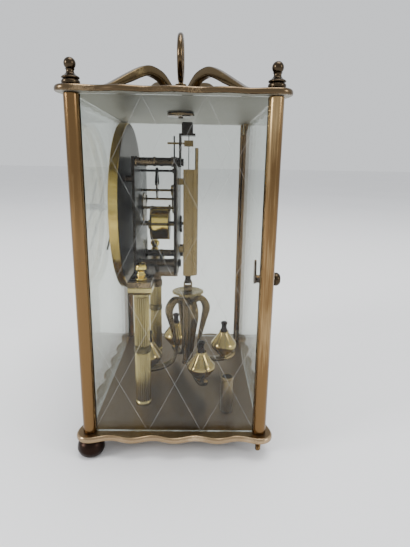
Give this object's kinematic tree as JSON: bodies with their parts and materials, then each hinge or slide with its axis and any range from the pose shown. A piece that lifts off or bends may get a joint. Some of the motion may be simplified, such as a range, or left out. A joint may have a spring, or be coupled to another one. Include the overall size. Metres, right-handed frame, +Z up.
{
  "type": "torsion pendulum clock",
  "caption": "Table clock in a glazed brass case with a hinged glass door, a ring handle, a dial and movement on columns, and a weighted torsion pendulum hung on a fine wire.",
  "frame": {"origin": "middle of the clock's bounding box, on the table", "axes": "+Z up; -Y towards the dial; +Y towards the door; +X towards the side with the key holder"},
  "size_m": [0.1624, 0.118, 0.2492],
  "materials": {
    "dark_bronze": "dark bronzed brass with bright worn edges",
    "lacquered_brass": "lacquered satin brass",
    "polished_gold": "polished gilt brass",
    "copper_brown": "brown lacquered brass",
    "blackened_brass": "near-black oxidised brass",
    "dark_steel": "dark tempered steel",
    "white_dial": "off-white enamel",
    "clear_glass": "clear bevelled glass"
  },
  "bodies": {
    "clock": {"base_plate": "dark_bronze", "top_plate": "dark_bronze", "foot_front_right": "dark_bronze", "foot_front_left": "dark_bronze", "foot_back_left": "dark_bronze", "crown": "dark_bronze", "platform": "dark_bronze", "platform_screw_right": "dark_bronze", "platform_screw_left": "dark_bronze", "corner_nut": "lacquered_brass", "finial_front_right": "lacquered_brass", "finial_front_left": "lacquered_brass", "finial_back_left": "lacquered_brass", "finial_back_right": "lacquered_brass", "ring_handle": "lacquered_brass", "key_holder": "lacquered_brass", "column_right": "lacquered_brass", "column_left": "lacquered_brass", "dial_pan": "lacquered_brass", "guard": "lacquered_brass", "column_nut_right": "polished_gold", "column_nut_left": "polished_gold", "post_front_right": "copper_brown", "post_front_left": "copper_brown", "post_back_left": "copper_brown", "post_back_right": "copper_brown", "front_plate": "blackened_brass", "back_plate": "blackened_brass", "suspension_bracket": "blackened_brass", "suspension_strip": "dark_steel", "dial_face": "white_dial", "glass_front": "clear_glass", "glass_right": "clear_glass", "glass_left": "clear_glass"},
    "door": {"door_glass": "clear_glass", "door_clip_bottom": "lacquered_brass", "door_clip_top": "lacquered_brass"},
    "catch": {"door_knob": "blackened_brass", "door_catch": "lacquered_brass"},
    "pendulum": {"bottom_block": "blackened_brass", "pendulum_frame": "dark_bronze", "pendulum_weight_1": "polished_gold", "pendulum_weight_2": "polished_gold", "pendulum_weight_3": "polished_gold", "pendulum_weight_4": "polished_gold"},
    "regulator": {"regulating_disc": "dark_bronze"},
    "fork": {"fork": "lacquered_brass"},
    "anchor": {"anchor": "dark_steel"},
    "minute": {"centre_wheel": "lacquered_brass", "minute_hand": "dark_steel"},
    "hour": {"hour_wheel": "lacquered_brass", "hour_hand": "dark_steel"},
    "minute_work": {"minute_wheel": "lacquered_brass"},
    "third": {"third_wheel": "lacquered_brass"},
    "escape": {"escape_wheel": "lacquered_brass"},
    "intermediate": {"intermediate_wheel": "lacquered_brass"},
    "barrel": {"barrel": "lacquered_brass"},
    "winding": {"winding_arbor": "blackened_brass", "mainspring": "dark_steel"},
    "click": {"click": "blackened_brass"}
  },
  "joints": [
    {"name": "door_swing", "type": "hinge", "parent": "clock", "child": "door", "pos_m": [-0.065, 0.049, 0.108], "axis": [0, 0, 1], "range_deg": [0, 110]},
    {"name": "catch_turn", "type": "hinge", "parent": "door", "child": "catch", "pos_m": [0.06, 0.044, 0.106], "axis": [0, 1, 0], "range_deg": [0, 90]},
    {"name": "pendulum_swing", "type": "hinge", "parent": "clock", "child": "pendulum", "pos_m": [0, 0.0044, 0.09], "axis": [0, 0, 1], "range_deg": [-150, 150], "stiffness_Nm_per_rad": 0.00002},
    {"name": "regulator_turn", "type": "hinge", "parent": "pendulum", "child": "regulator", "pos_m": [0, 0.0044, 0.08], "axis": [0, 0, 1], "range_deg": [-180, 180]},
    {"name": "fork_turn", "type": "hinge", "parent": "clock", "child": "fork", "pos_m": [0, 0.0044, 0.182], "axis": [0, 0, 1], "range_deg": [-5.7, 5.7]},
    {"name": "anchor_rock", "type": "hinge", "parent": "clock", "child": "anchor", "pos_m": [0, -0.016, 0.1649], "axis": [0, 1, 0], "range_deg": [-3.1, 3.1]},
    {"name": "minute_turn", "type": "hinge", "parent": "clock", "child": "minute", "pos_m": [0, -0.031, 0.1401], "axis": [0, 1, 0], "continuous": true},
    {"name": "hour_turn", "type": "hinge", "parent": "clock", "child": "hour", "pos_m": [0, -0.037, 0.1401], "axis": [0, 1, 0], "continuous": true},
    {"name": "minute_work_turn", "type": "hinge", "parent": "clock", "child": "minute_work", "pos_m": [0.00602, -0.031, 0.13211], "axis": [0, 1, 0], "continuous": true},
    {"name": "third_turn", "type": "hinge", "parent": "clock", "child": "third", "pos_m": [-0.01137, -0.016, 0.14529], "axis": [0, 1, 0], "continuous": true},
    {"name": "escape_turn", "type": "hinge", "parent": "clock", "child": "escape", "pos_m": [0, -0.016, 0.152], "axis": [0, 1, 0], "continuous": true},
    {"name": "intermediate_turn", "type": "hinge", "parent": "clock", "child": "intermediate", "pos_m": [0.00497, -0.016, 0.12918], "axis": [0, 1, 0], "continuous": true},
    {"name": "barrel_turn", "type": "hinge", "parent": "clock", "child": "barrel", "pos_m": [-0.01, -0.016, 0.1283], "axis": [0, 1, 0], "continuous": true},
    {"name": "winding_turn", "type": "hinge", "parent": "clock", "child": "winding", "pos_m": [-0.01, -0.016, 0.1283], "axis": [0, 1, 0], "continuous": true},
    {"name": "click_lift", "type": "hinge", "parent": "clock", "child": "click", "pos_m": [-0.0174, -0.001, 0.1221], "axis": [0, -1, 0], "range_deg": [0, 12]}
  ],
  "couplings": [
    {"joint": "hour_turn", "follows": "minute_turn", "ratio": 0.083333},
    {"joint": "minute_work_turn", "follows": "minute_turn", "ratio": -0.33333},
    {"joint": "third_turn", "follows": "minute_turn", "ratio": -4},
    {"joint": "escape_turn", "follows": "minute_turn", "ratio": 12},
    {"joint": "intermediate_turn", "follows": "minute_turn", "ratio": -0.2},
    {"joint": "barrel_turn", "follows": "minute_turn", "ratio": 0.05},
    {"joint": "fork_turn", "follows": "pendulum_swing", "ratio": 0.0373},
    {"joint": "anchor_rock", "follows": "pendulum_swing", "ratio": 0.02}
  ]
}
